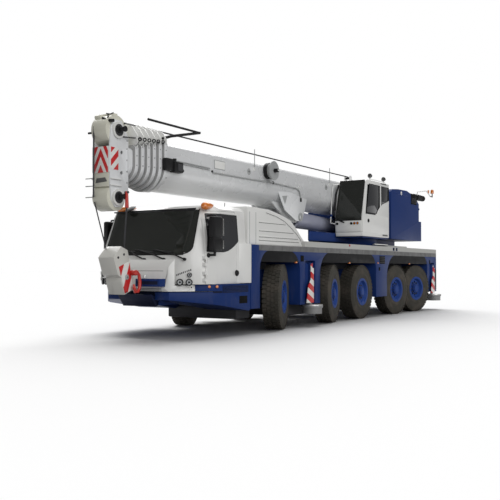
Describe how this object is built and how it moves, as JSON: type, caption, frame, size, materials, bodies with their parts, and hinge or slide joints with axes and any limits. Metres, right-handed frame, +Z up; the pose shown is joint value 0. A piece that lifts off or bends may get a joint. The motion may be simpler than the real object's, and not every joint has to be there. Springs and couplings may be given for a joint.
{
  "type": "mobile crane",
  "caption": "All-terrain mobile crane with steered axles, folding outriggers, a slewing upper with an operator's cab and a luffing telescopic boom over the driver's cab.",
  "frame": {"origin": "on the ground, in the middle of the crane's overall length and width", "axes": "+X forward along the carrier and the boom, +Y to the driver's left, +Z up"},
  "size_m": [14.0399, 3.32, 4],
  "materials": {
    "tyre": "brown-black rubber, fine grain",
    "rim_blue": "gloss mid blue",
    "blue_paint": "gloss deep blue",
    "white_paint": "gloss warm white",
    "grey_paint": "satin mid grey",
    "dark_steel": "satin dark",
    "dark_glass": "smoked",
    "bright_steel": "brushed",
    "chrome_rod": "polished",
    "hook_red": "gloss red"
  },
  "bodies": {
    "carrier": {"chassis_frame": "blue_paint", "axle_beams": "dark_steel", "deck_plates": "grey_paint", "driver_cab": "white_paint", "driver_cab_glass": "dark_glass", "front_bumper": "white_paint", "engine_housing": "white_paint", "engine_block": "dark_steel"},
    "door_left": {"door_left": "white_paint"},
    "door_right": {"door_right": "white_paint"},
    "superstructure": {"turntable": "blue_paint", "operator_cab": "white_paint", "operator_cab_glass": "dark_glass", "counterweight": "blue_paint"},
    "boom_base": {"boom_base": "white_paint"},
    "luff_barrel": {"luff_barrel": "blue_paint"},
    "luff_rod": {"luff_rod": "chrome_rod"},
    "hook_block": {"hook_block": "hook_red"},
    "boom_section_1": {"boom_section_1": "white_paint"},
    "boom_section_2": {"boom_section_2": "white_paint"},
    "boom_section_3": {"boom_section_3": "white_paint"},
    "boom_section_4": {"boom_section_4": "white_paint"},
    "boom_section_5": {"boom_section_5": "white_paint"},
    "boom_section_6": {"boom_section_6": "white_paint"},
    "outrigger_beam_front_left": {"outrigger_beam_front_left": "blue_paint"},
    "jack_foot_front_left": {"jack_foot_front_left": "bright_steel"},
    "outrigger_beam_front_right": {"outrigger_beam_front_right": "blue_paint"},
    "jack_foot_front_right": {"jack_foot_front_right": "bright_steel"},
    "outrigger_beam_rear_left": {"outrigger_beam_rear_left": "blue_paint"},
    "jack_foot_rear_left": {"jack_foot_rear_left": "bright_steel"},
    "outrigger_beam_rear_right": {"outrigger_beam_rear_right": "blue_paint"},
    "jack_foot_rear_right": {"jack_foot_rear_right": "bright_steel"},
    "wheel_1_left": {"tyre_1_left": "tyre", "rim_1_left": "rim_blue"},
    "knuckle_1_left": {"knuckle_1_left": "dark_steel"},
    "wheel_1_right": {"tyre_1_right": "tyre", "rim_1_right": "rim_blue"},
    "knuckle_1_right": {"knuckle_1_right": "dark_steel"},
    "wheel_2_left": {"tyre_2_left": "tyre", "rim_2_left": "rim_blue"},
    "knuckle_2_left": {"knuckle_2_left": "dark_steel"},
    "wheel_2_right": {"tyre_2_right": "tyre", "rim_2_right": "rim_blue"},
    "knuckle_2_right": {"knuckle_2_right": "dark_steel"},
    "wheel_3_left": {"tyre_3_left": "tyre", "rim_3_left": "rim_blue"},
    "wheel_3_right": {"tyre_3_right": "tyre", "rim_3_right": "rim_blue"},
    "wheel_4_left": {"tyre_4_left": "tyre", "rim_4_left": "rim_blue"},
    "knuckle_4_left": {"knuckle_4_left": "dark_steel"},
    "wheel_4_right": {"tyre_4_right": "tyre", "rim_4_right": "rim_blue"},
    "knuckle_4_right": {"knuckle_4_right": "dark_steel"},
    "wheel_5_left": {"tyre_5_left": "tyre", "rim_5_left": "rim_blue"},
    "knuckle_5_left": {"knuckle_5_left": "dark_steel"},
    "wheel_5_right": {"tyre_5_right": "tyre", "rim_5_right": "rim_blue"},
    "knuckle_5_right": {"knuckle_5_right": "dark_steel"}
  },
  "joints": [
    {"name": "steer_1_left", "type": "hinge", "parent": "carrier", "child": "knuckle_1_left", "pos_m": [2.9, 1.1825, 0.6845], "axis": [0, 0, 1], "range_deg": [-56, 16]},
    {"name": "spin_1_left", "type": "hinge", "parent": "knuckle_1_left", "child": "wheel_1_left", "pos_m": [2.9, 1.1825, 0.6845], "axis": [-0.342, 0.9397, 0], "continuous": true},
    {"name": "steer_1_right", "type": "hinge", "parent": "carrier", "child": "knuckle_1_right", "pos_m": [2.9, -1.1825, 0.6845], "axis": [0, 0, 1], "range_deg": [-56, 16]},
    {"name": "spin_1_right", "type": "hinge", "parent": "knuckle_1_right", "child": "wheel_1_right", "pos_m": [2.9, -1.1825, 0.6845], "axis": [0.342, -0.9397, 0], "continuous": true},
    {"name": "steer_2_left", "type": "hinge", "parent": "carrier", "child": "knuckle_2_left", "pos_m": [0.45, 1.1825, 0.6845], "axis": [0, 0, 1], "range_deg": [-36.4, 10.4]},
    {"name": "spin_2_left", "type": "hinge", "parent": "knuckle_2_left", "child": "wheel_2_left", "pos_m": [0.45, 1.1825, 0.6845], "axis": [-0.225, 0.9744, 0], "continuous": true},
    {"name": "steer_2_right", "type": "hinge", "parent": "carrier", "child": "knuckle_2_right", "pos_m": [0.45, -1.1825, 0.6845], "axis": [0, 0, 1], "range_deg": [-36.4, 10.4]},
    {"name": "spin_2_right", "type": "hinge", "parent": "knuckle_2_right", "child": "wheel_2_right", "pos_m": [0.45, -1.1825, 0.6845], "axis": [0.225, -0.9744, 0], "continuous": true},
    {"name": "spin_3_left", "type": "hinge", "parent": "carrier", "child": "wheel_3_left", "pos_m": [-1.2, 1.1825, 0.6845], "axis": [0, 1, 0], "continuous": true},
    {"name": "spin_3_right", "type": "hinge", "parent": "carrier", "child": "wheel_3_right", "pos_m": [-1.2, -1.1825, 0.6845], "axis": [0, -1, 0], "continuous": true},
    {"name": "steer_4_left", "type": "hinge", "parent": "carrier", "child": "knuckle_4_left", "pos_m": [-3.61, 1.1825, 0.6845], "axis": [0, 0, 1], "range_deg": [-6.4, 22.4]},
    {"name": "spin_4_left", "type": "hinge", "parent": "knuckle_4_left", "child": "wheel_4_left", "pos_m": [-3.61, 1.1825, 0.6845], "axis": [0.1392, 0.9903, 0], "continuous": true},
    {"name": "steer_4_right", "type": "hinge", "parent": "carrier", "child": "knuckle_4_right", "pos_m": [-3.61, -1.1825, 0.6845], "axis": [0, 0, 1], "range_deg": [-6.4, 22.4]},
    {"name": "spin_4_right", "type": "hinge", "parent": "knuckle_4_right", "child": "wheel_4_right", "pos_m": [-3.61, -1.1825, 0.6845], "axis": [-0.1392, -0.9903, 0], "continuous": true},
    {"name": "steer_5_left", "type": "hinge", "parent": "carrier", "child": "knuckle_5_left", "pos_m": [-5.26, 1.1825, 0.6845], "axis": [0, 0, 1], "range_deg": [-12, 42]},
    {"name": "spin_5_left", "type": "hinge", "parent": "knuckle_5_left", "child": "wheel_5_left", "pos_m": [-5.26, 1.1825, 0.6845], "axis": [0.2588, 0.9659, 0], "continuous": true},
    {"name": "steer_5_right", "type": "hinge", "parent": "carrier", "child": "knuckle_5_right", "pos_m": [-5.26, -1.1825, 0.6845], "axis": [0, 0, 1], "range_deg": [-12, 42]},
    {"name": "spin_5_right", "type": "hinge", "parent": "knuckle_5_right", "child": "wheel_5_right", "pos_m": [-5.26, -1.1825, 0.6845], "axis": [-0.2588, -0.9659, 0], "continuous": true},
    {"name": "door_left_hinge", "type": "hinge", "parent": "carrier", "child": "door_left", "pos_m": [5.55, 1.256, 1.3], "axis": [0, 0, -1], "range_deg": [0, 70]},
    {"name": "door_right_hinge", "type": "hinge", "parent": "carrier", "child": "door_right", "pos_m": [5.55, -1.256, 1.3], "axis": [0, 0, 1], "range_deg": [0, 70]},
    {"name": "outrigger_slide_front_left", "type": "slide", "parent": "carrier", "child": "outrigger_beam_front_left", "axis": [0, 1, 0], "range_m": [0, 1.9]},
    {"name": "jack_slide_front_left", "type": "slide", "parent": "outrigger_beam_front_left", "child": "jack_foot_front_left", "axis": [0, 0, -1], "range_m": [0, 0.27]},
    {"name": "outrigger_slide_front_right", "type": "slide", "parent": "carrier", "child": "outrigger_beam_front_right", "axis": [0, -1, 0], "range_m": [0, 1.9]},
    {"name": "jack_slide_front_right", "type": "slide", "parent": "outrigger_beam_front_right", "child": "jack_foot_front_right", "axis": [0, 0, -1], "range_m": [0, 0.27]},
    {"name": "outrigger_slide_rear_left", "type": "slide", "parent": "carrier", "child": "outrigger_beam_rear_left", "axis": [0, 1, 0], "range_m": [0, 1.9]},
    {"name": "jack_slide_rear_left", "type": "slide", "parent": "outrigger_beam_rear_left", "child": "jack_foot_rear_left", "axis": [0, 0, -1], "range_m": [0, 0.27]},
    {"name": "outrigger_slide_rear_right", "type": "slide", "parent": "carrier", "child": "outrigger_beam_rear_right", "axis": [0, -1, 0], "range_m": [0, 1.9]},
    {"name": "jack_slide_rear_right", "type": "slide", "parent": "outrigger_beam_rear_right", "child": "jack_foot_rear_right", "axis": [0, 0, -1], "range_m": [0, 0.27]},
    {"name": "slew", "type": "hinge", "parent": "carrier", "child": "superstructure", "pos_m": [-2.95, 0, 1.9], "axis": [0, 0, 1], "continuous": true},
    {"name": "boom_luff", "type": "hinge", "parent": "superstructure", "child": "boom_base", "pos_m": [-5.3, 0, 3.15], "axis": [0, -1, 0], "range_deg": [0, 82]},
    {"name": "luff_barrel_pin", "type": "hinge", "parent": "superstructure", "child": "luff_barrel", "pos_m": [-4.1, 0, 2.39], "axis": [0, -1, 0], "range_deg": [0, 86.45]},
    {"name": "luff_rod_slide", "type": "slide", "parent": "luff_barrel", "child": "luff_rod", "axis": [0.9996, 0, 0.0286], "range_m": [0, 1.8204]},
    {"name": "telescope_1", "type": "slide", "parent": "boom_base", "child": "boom_section_1", "axis": [1, 0, 0], "range_m": [0, 9.3]},
    {"name": "telescope_2", "type": "slide", "parent": "boom_section_1", "child": "boom_section_2", "axis": [1, 0, 0], "range_m": [0, 9.3]},
    {"name": "telescope_3", "type": "slide", "parent": "boom_section_2", "child": "boom_section_3", "axis": [1, 0, 0], "range_m": [0, 9.3]},
    {"name": "telescope_4", "type": "slide", "parent": "boom_section_3", "child": "boom_section_4", "axis": [1, 0, 0], "range_m": [0, 9.3]},
    {"name": "telescope_5", "type": "slide", "parent": "boom_section_4", "child": "boom_section_5", "axis": [1, 0, 0], "range_m": [0, 9.3]},
    {"name": "telescope_6", "type": "slide", "parent": "boom_section_5", "child": "boom_section_6", "axis": [1, 0, 0], "range_m": [0, 9.3]},
    {"name": "hook_fall", "type": "hinge", "parent": "boom_section_6", "child": "hook_block", "pos_m": [6.75, 0, 2.52], "axis": [0, -1, 0], "range_deg": [-61.9, 0]}
  ],
  "couplings": [
    {"joint": "steer_1_right", "follows": "steer_1_left", "ratio": 1},
    {"joint": "steer_2_left", "follows": "steer_1_left", "ratio": 0.65},
    {"joint": "steer_2_right", "follows": "steer_1_left", "ratio": 0.65},
    {"joint": "steer_4_left", "follows": "steer_1_left", "ratio": -0.4},
    {"joint": "steer_4_right", "follows": "steer_1_left", "ratio": -0.4},
    {"joint": "steer_5_left", "follows": "steer_1_left", "ratio": -0.75},
    {"joint": "steer_5_right", "follows": "steer_1_left", "ratio": -0.75},
    {"joint": "luff_barrel_pin", "follows": "boom_luff", "ratio": 1.053},
    {"joint": "luff_rod_slide", "follows": "boom_luff", "m_per_rad": 1.2706},
    {"joint": "telescope_2", "follows": "telescope_1", "ratio": 1},
    {"joint": "telescope_3", "follows": "telescope_1", "ratio": 1},
    {"joint": "telescope_4", "follows": "telescope_1", "ratio": 1},
    {"joint": "telescope_5", "follows": "telescope_1", "ratio": 1},
    {"joint": "telescope_6", "follows": "telescope_1", "ratio": 1},
    {"joint": "hook_fall", "follows": "boom_luff", "ratio": -0.75366}
  ]
}
